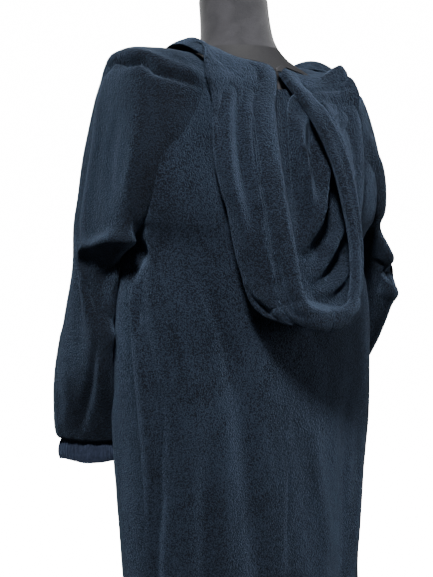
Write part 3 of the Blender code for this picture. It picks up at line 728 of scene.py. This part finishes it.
# ---- materials
class Nodes:
    """Short names for the few shader nodes that the materials are made of."""

    def __init__(self, name, roughness, metallic=0.0):
        self.material = bpy.data.materials.new(name)
        self.material.use_nodes = True
        self.tree = self.material.node_tree
        self.shader = self.tree.nodes["Principled BSDF"]
        self.shader.inputs["Roughness"].default_value = roughness
        self.shader.inputs["Metallic"].default_value = metallic
        self.place = self.tree.nodes.new("ShaderNodeTexCoord").outputs["Object"]

    def link(self, source, target):
        self.tree.links.new(source, target)

    def add(self, kind, result, **inputs):
        """A node with these values or links at its inputs."""
        node = self.tree.nodes.new(kind)
        for name, value in inputs.items():
            if isinstance(value, bpy.types.NodeSocket):
                self.link(value, node.inputs[name])
            else:
                node.inputs[name].default_value = value
        return node.outputs[result]

    def stretched(self, scale):
        return self.add("ShaderNodeMapping", "Vector", Vector=self.place, Scale=scale)

    def noise(self, scale, detail=2.0, distortion=0.0, place=None):
        return self.add("ShaderNodeTexNoise", "Fac", Vector=place or self.place,
                        Scale=scale, Detail=detail, Distortion=distortion)

    def math(self, operation, first, second):
        node = self.tree.nodes.new("ShaderNodeMath")
        node.operation = operation
        for socket, value in zip(node.inputs, (first, second)):
            if isinstance(value, (int, float)):
                socket.default_value = value
            else:
                self.link(value, socket)
        return node.outputs[0]

    def ramp(self, fac, stops):
        node = self.tree.nodes.new("ShaderNodeValToRGB")
        ramp = node.color_ramp
        while len(ramp.elements) < len(stops):
            ramp.elements.new(0.5)
        for element, (at, colour) in zip(ramp.elements, stops):
            element.position = at
            element.color = (*colour, 1.0)
        self.link(fac, node.inputs["Fac"])
        return node.outputs["Color"]

    def mix(self, first, share, second, second_share):
        """The sum of two values, each times its share."""
        return self.math("ADD", self.math("MULTIPLY", first, share),
                         self.math("MULTIPLY", second, second_share))

    def colour(self, fac, stops):
        self.link(self.ramp(fac, stops), self.shader.inputs["Base Color"])

    def fuzz(self, specular, sheen, roughness, tint=(1.0, 1.0, 1.0)):
        """The soft edge light of cloth."""
        for name, value in (("Specular IOR Level", specular), ("Sheen Weight", sheen),
                            ("Sheen Roughness", roughness), ("Sheen Tint", (*tint, 1.0))):
            self.shader.inputs[name].default_value = value

    def bump(self, height, distance, strength=1.0, **under):
        normal = self.add("ShaderNodeBump", "Normal", Height=height, Distance=distance,
                          Strength=strength, **under)
        self.link(normal, self.shader.inputs["Normal"])
        return normal


BLUE_SHEEN = (0.40, 0.58, 0.90)


def plush(name, dark, light, sheen):
    """Deep pile: tufts a few millimetres across, each lit at its tips, in
    patches where the pile was brushed one way or the other."""
    nodes = Nodes(name, 0.95)
    tufts = nodes.noise(390.0, 1.0, 0.2)
    tips = nodes.noise(800.0, 1.0)
    brushed = nodes.noise(16.0, 3.0, 1.2, nodes.stretched((1.0, 1.0, 0.45)))
    mottled = nodes.noise(70.0, 2.0, 0.5)
    pile = nodes.mix(tufts, 0.55, tips, 0.45)
    shade = nodes.math("ADD", nodes.math("MULTIPLY", pile, 0.82),
                       nodes.mix(brushed, 0.16, mottled, 0.02))
    middle = [(a + b) / 2 for a, b in zip(dark, light)]
    nodes.colour(shade, ((0.44, dark), (0.50, middle), (0.56, light)))
    nodes.fuzz(0.15, sheen, 0.38, BLUE_SHEEN)
    coarse = nodes.bump(mottled, 0.003, 0.4)
    nodes.bump(pile, 0.0050, 1.0, Normal=coarse)
    return nodes.material


def rib_knit(name, dark, light):
    """Fine knit of the cuffs, with its wales running down."""
    nodes = Nodes(name, 0.9)
    fine = nodes.noise(620.0, 2.0)
    loops = nodes.noise(260.0, 2.0, 0.3, nodes.stretched((1.0, 1.0, 0.5)))
    knit = nodes.mix(fine, 0.5, loops, 0.5)
    nodes.colour(knit, ((0.36, dark), (0.66, light)))
    nodes.fuzz(0.2, 0.25, 0.4, BLUE_SHEEN)
    nodes.bump(knit, 0.0014, 0.9)
    return nodes.material


def jersey(name):
    """Tight charcoal jersey over the form, a little worn and linty."""
    nodes = Nodes(name, 0.85)
    knit = nodes.noise(900.0, 2.0, 0.0, nodes.stretched((1.0, 1.0, 0.6)))
    cloudy = nodes.noise(22.0, 4.0, 0.8)
    nodes.colour(nodes.mix(knit, 0.35, cloudy, 0.65),
                 ((0.36, (0.018, 0.018, 0.021)), (0.64, (0.038, 0.037, 0.042))))
    nodes.fuzz(0.25, 0.2, 0.5)
    nodes.bump(knit, 0.0006, 0.7)
    return nodes.material


def metal(name, colour, roughness):
    """Dark lacquered metal with faint wear and an uneven gloss."""
    nodes = Nodes(name, roughness, 0.85)
    wear = nodes.noise(180.0, 4.0, 0.4)
    bright = [min(1.0, c * 2.2) for c in colour]
    nodes.colour(wear, ((0.42, colour), (0.78, bright)))
    nodes.link(nodes.math("ADD", nodes.math("MULTIPLY", wear, 0.25), roughness - 0.12),
               nodes.shader.inputs["Roughness"])
    nodes.bump(wear, 0.0002, 0.4)
    return nodes.material


def powder_coat(name, colour):
    """Fine orange-peel texture of a sprayed coat."""
    nodes = Nodes(name, 0.5, 0.2)
    peel = nodes.noise(420.0, 2.0)
    dust = nodes.noise(30.0, 4.0, 0.6)
    nodes.colour(dust, ((0.35, colour), (0.75, [c * 1.5 for c in colour])))
    nodes.bump(peel, 0.0004, 0.5)
    return nodes.material


def woven_tape(name):
    """The zip's tape: close herringbone ribs in black."""
    nodes = Nodes(name, 0.7)
    weave = nodes.noise(1500.0, 1.0)
    nodes.colour(weave, ((0.35, (0.006, 0.006, 0.007)), (0.70, (0.022, 0.022, 0.025))))
    nodes.bump(weave, 0.0005, 0.8)
    return nodes.material


NAVY = plush("navy_fleece", (0.0014, 0.0024, 0.0050), (0.0160, 0.0240, 0.0405), 0.20)
# the hood's copy of the fleece is darker all over: painted shade, as the hood faces the key
# light
NAVY_HOOD_SHADED = plush("navy_hood", (0.0012, 0.0021, 0.0044), (0.0130, 0.0195, 0.0335), 0.20)
# the sleeves are darker: partly their pile lying the other way, partly painted shade
NAVY_SLEEVE_SHADED = plush("navy_sleeve", (0.0007, 0.0014, 0.0031), (0.0072, 0.0115, 0.0205), 0.18)
NAVY_KNIT = rib_knit("navy_cuff", (0.006, 0.009, 0.020), (0.018, 0.025, 0.048))
THREAD = rib_knit("navy_thread", (0.012, 0.018, 0.030), (0.032, 0.044, 0.068))
JERSEY = jersey("form_jersey")
JERSEY_BAND = woven_tape("form_band")
TAPE_BLACK = woven_tape("zip_tape")
GUNMETAL = metal("zip_metal", (0.16, 0.16, 0.17), 0.30)
TEETH = metal("zip_teeth", (0.08, 0.08, 0.085), 0.50)
COATED = powder_coat("painted_steel", (0.020, 0.020, 0.022))


# ---- the garment
def grid_of(point, rows, cols):
    """The points of a panel at these rows and at even steps across."""
    return np.array([[point(row, i / cols) for i in range(cols + 1)] for row in rows])


def body_grid(side, back):
    """Rows from the neckline to the ankle of one front or back."""
    yoke = grid_of(lambda t, u: yoke_point(t, u, side, back),
                   [SLEEVE_TOP_ROWS * j / YOKE_ROWS for j in range(YOKE_ROWS)], BODY_COLS)
    heights = [*np.linspace(UNDERARM_Z, CROTCH_Z, TORSO_ROWS + 1),
               *np.linspace(CROTCH_Z, ANKLE_Z, LEG_ROWS + 1)[1:]]
    grid = np.concatenate([yoke, grid_of(lambda z, u: lower_point(z, u, side, back),
                                         heights, BODY_COLS)])
    # the cloth runs smoothly past the underarm, whatever its side seam does
    low, high = YOKE_ROWS - UNDERARM_EASE, YOKE_ROWS + UNDERARM_EASE - 1
    column = np.arange(BODY_COLS + 1)
    ease = unit((BODY_COLS - column) / UNDERARM_EASE)
    if not back:
        ease = np.minimum(ease, unit(column / 4.0))
    for _ in range(UNDERARM_ROUNDS):
        middle = (grid[low - 1:high - 1] + grid[low + 1:high + 1]) / 2
        grid[low:high] += (middle - grid[low:high]) * ease[None, :, None]
    return grid


def gathered(roll, tuck, waves):
    """What an elastic cuff does to the cloth above it: a full roll, a tuck at
    the seam itself, and gathers running up from it."""
    def lift_at(grid, gaps):
        down = gaps[3]
        height, at, reach = roll
        lift = height * np.exp(-((down - at) / reach) ** 2)
        depth, length = tuck
        lift -= depth * unit(1.0 - down / length) ** 2
        height, count, uneven, bends, reach = waves
        angle = np.linspace(0.0, 1.0, grid.shape[1])
        wave = np.sin(angle * count + uneven * np.sin(angle * bends))
        lift += height * wave * np.exp(-down / reach) * unit(down / 0.006)
        return lift, np.zeros_like(lift)
    return lift_at


# roll: height, place above the seam, reach; tuck: depth, reach; waves: height,
# how many, how uneven and in how many bends, reach
ANKLE_GATHER = gathered(roll=(0.006, 0.028, 0.022), tuck=(0.004, 0.007),
                        waves=(0.0014, 47.0, 2.0, 11.0, 0.030))
WRIST_GATHER = gathered(roll=(0.006, 0.012, 0.034), tuck=(0.010, 0.010),
                        waves=(0.0011, 61.0, 2.5, 13.0, 0.026))


def add_body():
    for side, word in SIDES:
        for back, piece in ((True, "back"), (False, "front")):
            plush_panel(f"{piece}_{word}", body_grid(side, back), side if back else -side,
                        NAVY, ANKLE_GATHER, (0, 1, 2, 3) if back else (1, 2, 3))


def add_sleeves():
    rows = [*np.linspace(0.0, SLEEVE_TOP_ROWS, YOKE_ROWS + 1),
            *np.linspace(SLEEVE_TOP_ROWS, len(SLEEVE_LEFT) - 1.0, ARM_ROWS + 1)[1:]]
    for side, word in SIDES:
        grid = grid_of(lambda t, u: sleeve_point(t, u, side), rows, SLEEVE_COLS)
        plush_panel(f"sleeve_{word}", grid, side, NAVY_SLEEVE_SHADED, WRIST_GATHER)


def hood_hem(grid, gaps):
    """The casing along the rim: a puffy roll with a stitched groove."""
    rim = gaps[0]
    rows = np.linspace(0.0, len(HOOD) - 1.0, grid.shape[0])[:, None]
    here = unit(rows - HOOD_ZIP_ROWS + 0.5)
    inside = unit(rim / HEM_WIDTH)
    roll = np.sin(pi * unit(0.10 + 0.90 * inside)) ** 0.6
    roll = np.where(inside < 1.0, roll, 0.0)
    puff = HEM_PUFF * roll * here
    groove = -HEM_GROOVE * np.exp(-((rim - HEM_WIDTH) / 0.003) ** 2) * here
    creases = 0.0012 * lumps(grid, (0.02, 0.02, 0.009), 77) * here
    creases = creases * np.exp(-((rim - HEM_WIDTH) / 0.012) ** 2)
    return creases, puff + groove


def add_hood():
    rows = np.linspace(0.0, len(HOOD) - 1.0, HOOD_ROWS + 1)
    for side, word in SIDES:
        grid = grid_of(lambda t, w: hood_point(t, w, side), rows, HOOD_COLS)
        plush_panel(f"hood_{word}", grid, side, NAVY_HOOD_SHADED, hood_hem, (1, 2, 3))


def cuff_band(node, centre, half_x, half_y, yaw, top_z, height):
    """An elastic cuff: a folded band of knit, fuller in the middle, with
    ribs running down it."""
    rows, cols = CUFF_ROWS, CUFF_COLS
    angle = angles(cols)
    rib = RIB_DEPTH * np.cos(angle * RIBS)
    dent = 0.0012 * np.sin(angle * 5.0 + 1.3) + 0.0008 * np.sin(angle * 9.0)
    drop = 0.0016 * np.sin(angle * 3.0 + 0.6)
    outer, inner = [], []
    for down in np.linspace(0.0, 1.0, rows):
        scale = through(CUFF_SCALES, down * (len(CUFF_SCALES) - 1))
        wall = CUFF_WALL * (0.25 + 0.75 * max(sin(pi * down), 0.0) ** 0.5)
        for rings, inset in ((outer, 0.0), (inner, wall)):
            grow = rib + dent * down - inset
            x = (half_x * scale + grow) * np.cos(angle)
            y = (half_y * scale + grow) * np.sin(angle)
            rings.append(np.stack((centre[0] + x * cos(yaw) - y * sin(yaw),
                                   centre[1] + x * sin(yaw) + y * cos(yaw),
                                   top_z - height * down - drop * down), axis=1))
    points = np.array(outer + inner).reshape(-1, 3)
    size = rows * cols
    faces = tube_faces(rows, cols, 0, True) + tube_faces(rows, cols, size)
    low = (rows - 1) * cols
    for c in range(cols):
        d = (c + 1) % cols
        faces.append((c, d, d + size, c + size))
        faces.append((low + c, low + c + size, low + d + size, low + d))
    state_sheet(add_mesh(f"knit_{node}", points, faces, NAVY_KNIT), node)


def add_cuffs():
    for side, word in SIDES:
        x, y, z, depth, out = (SLEEVE_LEFT if side > 0 else SLEEVE_RIGHT)[-1][:5]
        yaw = radians(SLEEVE_LEFT[-1][8])
        cuff_band(f"cuff_{word}", (side * x, y), out, depth, side * yaw,
                  z + CUFF_TUCK, SLEEVE_CUFF + CUFF_TUCK)
    for legs, word in ((LEG_LEFT, "left"), (LEG_RIGHT, "right")):
        z, inner, outer, depth, y = legs[0]
        cuff_band(f"ankle_{word}", ((inner + outer) / 2, y), abs(outer - inner) / 2,
                  depth, 0.0, ANKLE_Z + CUFF_TUCK, ANKLE_CUFF + CUFF_TUCK / 2)


# ---- zip and stitches
def small_boxes(name, places, size, material):
    """Many small rounded bars in one mesh. Each place is a point and three
    unit vectors: along, sideways and out."""
    shape = np.array([(x, y, z) for x in (-0.5, 0.5) for y in (-0.5, 0.5)
                      for z in (-0.5, 0.5)])
    quads = ((0, 1, 3, 2), (4, 6, 7, 5), (0, 4, 5, 1), (2, 3, 7, 6), (0, 2, 6, 4),
             (1, 5, 7, 3))
    points, faces = [], []
    for point, along, sideways, out in places:
        base = len(points)
        axes = np.array((along, sideways, out))
        points.extend(point + (shape * size) @ axes)
        faces.extend(tuple(base + i for i in quad) for quad in quads)
    obj = add_mesh(name, points, faces, material)
    bevel = obj.modifiers.new("round", "BEVEL")
    bevel.width = min(size) * 0.3
    bevel.segments = 1
    return obj


def along_curve(points, outs, spacing):
    """Evenly spaced places along a run of points."""
    steps = np.linalg.norm(np.diff(points, axis=0), axis=1)
    run = np.concatenate([[0.0], np.cumsum(steps)])
    places = []
    for at in np.arange(spacing / 2, run[-1], spacing):
        i = min(int(np.searchsorted(run, at)) - 1, len(points) - 2)
        f = (at - run[i]) / max(run[i + 1] - run[i], 1e-9)
        point = points[i] * (1 - f) + points[i + 1] * f
        out = outs[i] * (1 - f) + outs[i + 1] * f
        along = points[i + 1] - points[i]
        along /= np.linalg.norm(along)
        out = out - along * (out @ along)
        out /= np.linalg.norm(out)
        places.append((point, along, np.cross(out, along), out))
    return places


def zip_grid(side, word):
    """One half of the zip: a strip along the free edge of the front, then
    along the hood's edge to the nape."""
    front = body_grid(side, False)[::-1]
    edge = [(row[0], row[6]) for row in front if row[0, 2] >= ZIP_BOTTOM_Z]
    pushed = PUSHED[f"hood_{word}"][:, 0]
    for t in np.linspace(0.0, HOOD_ZIP_ROWS, 60):
        shift = through(pushed, t / (len(HOOD) - 1) * (len(pushed) - 1))
        edge.append((hood_point(t, 0.0, side) + shift, hood_point(t, 0.1, side) + shift))
    edge = np.array(edge)
    step = edge[:, 1] - edge[:, 0]
    step /= np.linalg.norm(step, axis=1, keepdims=True)
    strip = np.linspace(-ZIP_GAP + ZIP_EDGE_CLEAR, TAPE_REACH, 8)
    return edge[:, :1] + step[:, None] * strip[None, :, None]


def add_zip():
    for side, word in SIDES:
        grid = zip_grid(side, word)
        normal = grid_normals(grid) * -side
        outer = grid - normal * TAPE_SINK
        inner = grid - normal * (TAPE_SINK + TAPE_WALL)
        tape = add_wall(f"zip_tape_{word}", outer, inner, -side, TAPE_BLACK)
        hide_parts(f"zip_{word}")
        places = along_curve(outer[:, 0] + normal[:, 0] * TOOTH_PROUD, normal[:, 0],
                             TOOTH_PITCH)
        teeth = small_boxes(f"zip_teeth_{word}", places, TOOTH, TEETH)
        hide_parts(f"zip_{word}")


def add_rim_stitches():
    """Two rows of topstitching beside the groove of the hood's casing."""
    for side, word in SIDES:
        outer = GRIDS[f"hood_{word}"]
        normal = grid_normals(outer) * side
        rim = edge_distance(outer)[0]
        start = int(outer.shape[0] * HOOD_ZIP_ROWS / (len(HOOD) - 1.0))
        for row, width in STITCH_ROWS:
            columns = [int(np.searchsorted(rim[r], width)) for r in range(outer.shape[0])]
            picked = [r for r in range(start, outer.shape[0] - 3)
                      if columns[r] < outer.shape[1] - 4]
            points = np.array([outer[r, columns[r]] for r in picked])
            outs = np.array([normal[r, columns[r]] for r in picked])
            places = along_curve(points + outs * STITCH_PROUD, outs, STITCH_PITCH)
            small_boxes(f"rim_stitch_{row}_{word}", places, STITCH, THREAD)


# ---- form and stand
def turned(name, node, table, material, steps):
    """A smooth solid through elliptical sections, that stands for a node."""
    sides = TURNED_SIDES
    last = len(table) - 1
    rows = [through(table, t) for t in np.linspace(0.0, last, steps * last + 1)]
    angle = angles(sides)
    points = np.concatenate([
        np.stack((width * np.cos(angle), y + depth * np.sin(angle), 0.0 * angle + z), axis=1)
        for z, width, depth, y in rows])
    faces = tube_faces(len(rows), sides)
    top = (len(rows) - 1) * sides
    faces.append(tuple(reversed(range(sides))))
    faces.append(tuple(range(top, top + sides)))
    obj = add_mesh(name, points, faces, material)
    obj.data.set_sharp_from_angle(angle=radians(50.0))
    if node:
        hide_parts(node)


def add_form():
    turned("jersey_form", "form_torso", FORM, JERSEY, 5)
    band = []
    low, high = NECK_BAND
    for z in np.linspace(low, high, 7):
        width, depth, y = at_height(FORM, z)
        proud = 0.0012 * sin(pi * (z - low) / (high - low)) ** 0.5
        band.append((z, width + proud, depth + proud, y))
    turned("neck_band", None, band, JERSEY_BAND, 2)
    for name in ("stand_pole", "stand_base", "zip_slider", "zip_pull"):
        finish = GUNMETAL if name.startswith("zip") else COATED
        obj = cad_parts[name]
        obj.data.materials.clear()
        obj.data.materials.append(finish)


# ---- floor, light and camera
CAMERA_AT = (1.147, 1.638, 1.229)
CAMERA_AIM = (0.037, -0.026, 1.116)
CAMERA_LENS = 71.3
BACKDROP = 16.0           # strength of the white that the camera sees
AMBIENT = 0.13            # strength of the white that lights the object
LIGHTS = (
    # name, place, aim, size, watts
    ("key", (1.7, 2.0, 3.6), (0.05, 0.0, 1.1), 0.60, 290.0),
    ("fill", (-2.4, 2.3, 1.7), (0.0, 0.0, 1.1), 1.4, 75.0),
    ("front", (-1.6, -3.0, 2.2), (0.0, 0.0, 1.0), 1.6, 120.0),
)
FLOOR_REACH = 60.0


def add_floor():
    nodes = Nodes("pale_floor", 0.8)
    for name, value in (("Base Color", (0.86, 0.86, 0.87, 1.0)),
                        ("Emission Color", (1.0, 1.0, 1.0, 1.0)),
                        ("Emission Strength", BACKDROP)):
        nodes.shader.inputs[name].default_value = value
    data = bpy.data.meshes.new("floor")
    data.from_pydata([(x * FLOOR_REACH, y * FLOOR_REACH, 0)
                      for x, y in ((-1, -1), (1, -1), (1, 1), (-1, 1))], [], [(0, 1, 2, 3)])
    data.materials.append(nodes.material)
    floor = bpy.data.objects.new("floor", data)
    floor.location = (0.0, 0.0, -0.0005)
    floor.visible_diffuse = False
    floor.visible_glossy = False
    bpy.context.scene.collection.objects.link(floor)


def add_aimed(name, data, place, aim):
    """A lamp or a camera at a place, turned towards a point."""
    obj = bpy.data.objects.new(name, data)
    obj.location = place
    obj.rotation_euler = (Vector(aim) - Vector(place)).to_track_quat("-Z", "Y").to_euler()
    bpy.context.scene.collection.objects.link(obj)
    return obj


def add_lights():
    for name, place, aim, size, power in LIGHTS:
        light = bpy.data.lights.new(name, "AREA")
        light.size = size
        light.energy = power
        add_aimed(name, light, place, aim)


def add_world():
    """White behind the object, and a dimmer white as the ambient light."""
    world = bpy.data.worlds.new("studio")
    world.use_nodes = True
    tree = world.node_tree
    background = tree.nodes["Background"]
    background.inputs["Color"].default_value = (1.0, 1.0, 1.0, 1.0)
    path = tree.nodes.new("ShaderNodeLightPath")
    mix = tree.nodes.new("ShaderNodeMix")
    mix.inputs["A"].default_value = AMBIENT
    mix.inputs["B"].default_value = BACKDROP
    tree.links.new(path.outputs["Is Camera Ray"], mix.inputs["Factor"])
    tree.links.new(mix.outputs["Result"], background.inputs["Strength"])
    bpy.context.scene.world = world


def add_camera():
    camera = bpy.data.cameras.new("camera")
    camera.lens = CAMERA_LENS
    camera.sensor_width = 36.0
    bpy.context.scene.camera = add_aimed("camera", camera, CAMERA_AT, CAMERA_AIM)


add_body()
add_sleeves()
add_hood()
add_cuffs()
add_zip()
add_rim_stitches()
add_form()
add_floor()
add_lights()
add_world()
add_camera()
